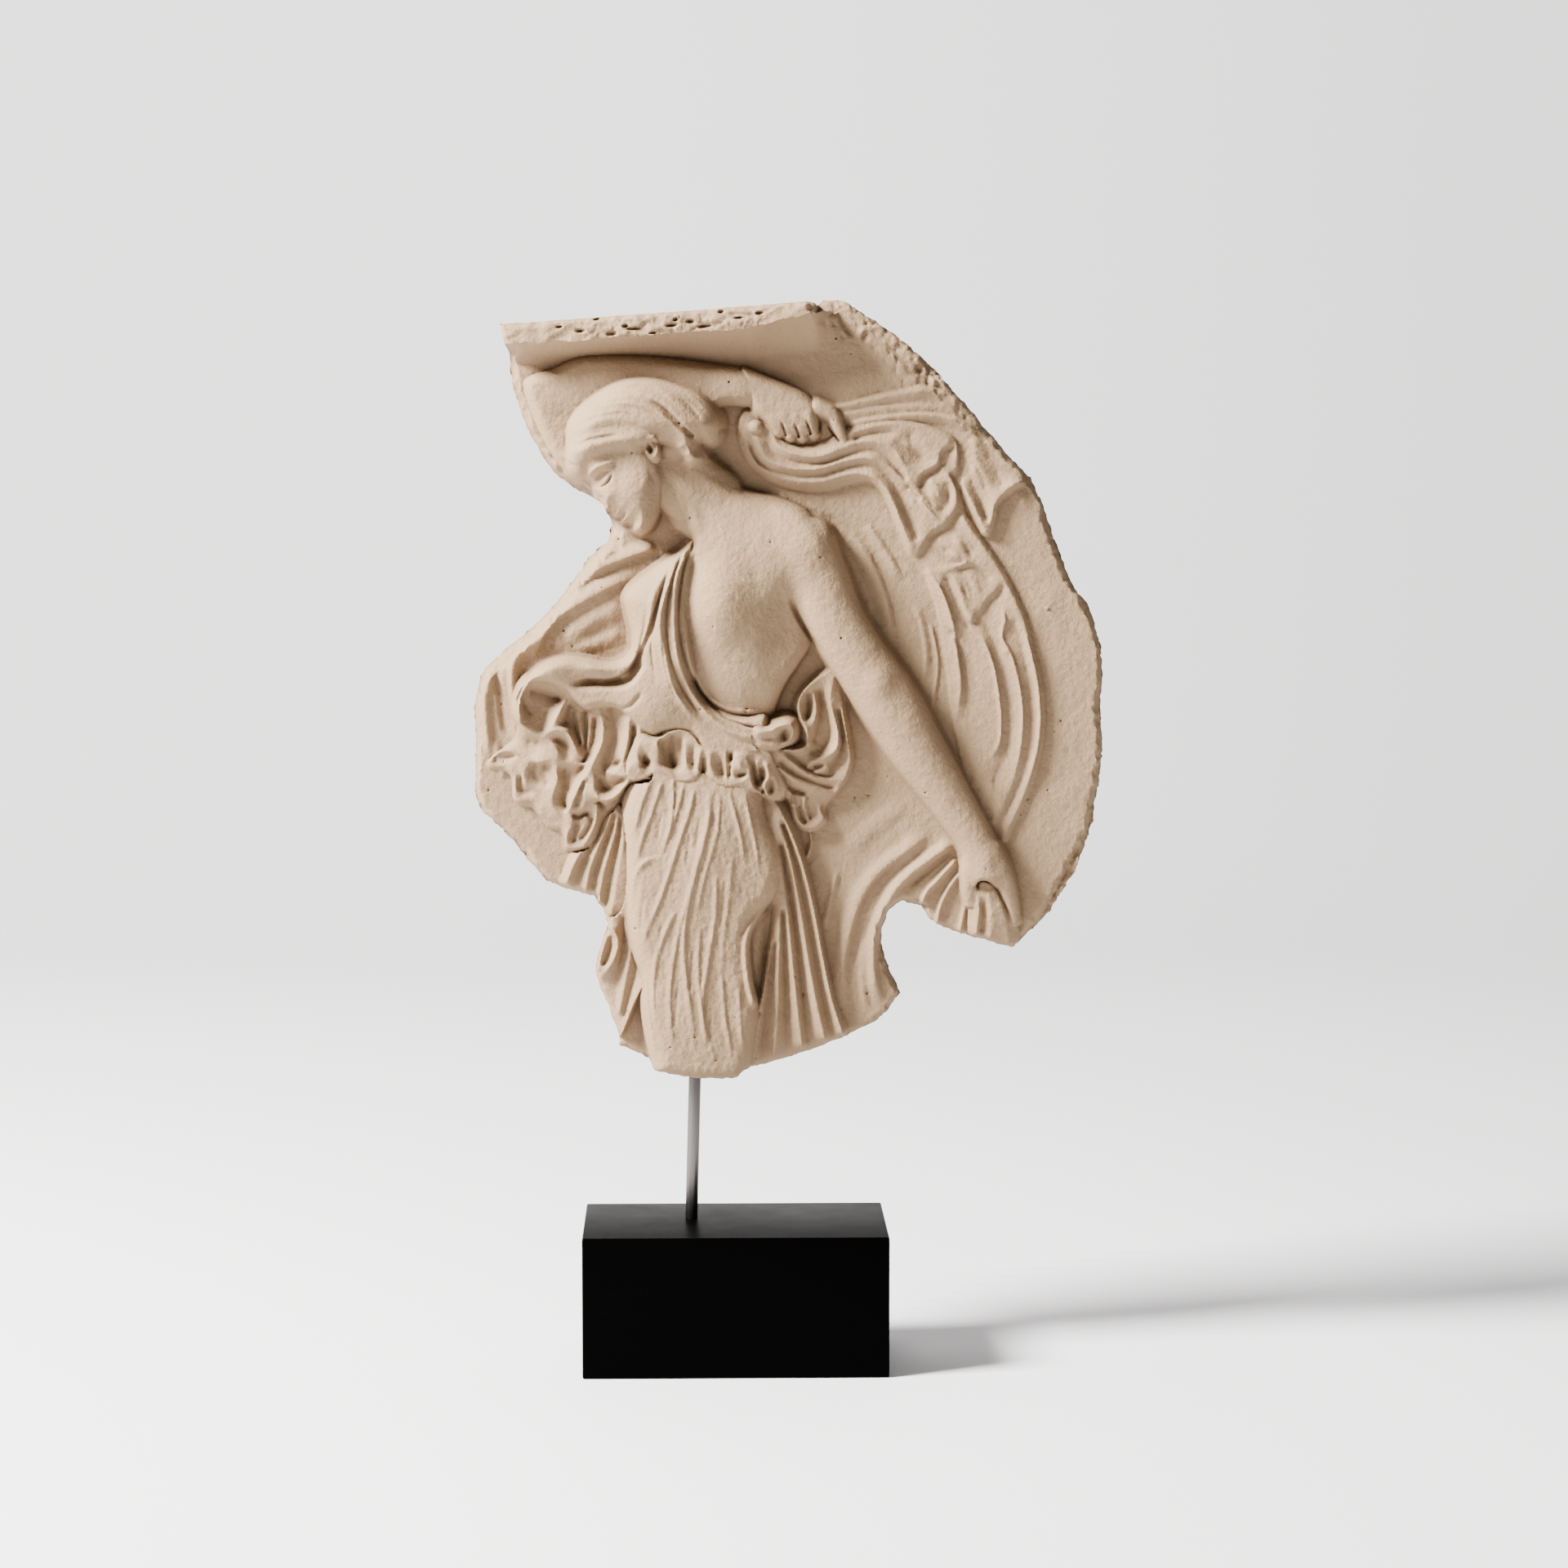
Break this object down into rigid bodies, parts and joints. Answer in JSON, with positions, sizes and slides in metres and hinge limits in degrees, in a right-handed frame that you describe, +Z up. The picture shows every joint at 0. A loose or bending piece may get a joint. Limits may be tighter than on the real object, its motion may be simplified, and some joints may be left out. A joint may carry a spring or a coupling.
{
  "type": "relief fragment on a stand",
  "caption": "Cast plaster relief fragment of a veiled dancing woman under a broken ledge, held upright by a thin steel rod on a black block.",
  "frame": {"origin": "centre of the block's underside", "axes": "+Z up, -Y towards the viewer (the carved side), +X to the viewer's right"},
  "size_m": [0.2557, 0.075, 0.4306],
  "materials": {
    "plaster": "matt cream cast plaster, fine pits, darker in the hollows",
    "steel": "plain drawn steel rod",
    "block": "black satin lacquer on wood, slightly worn arrises"
  },
  "bodies": {
    "root": {"relief_plaque": "plaster", "support_rod": "steel", "base_block": "block"}
  },
  "joints": []
}
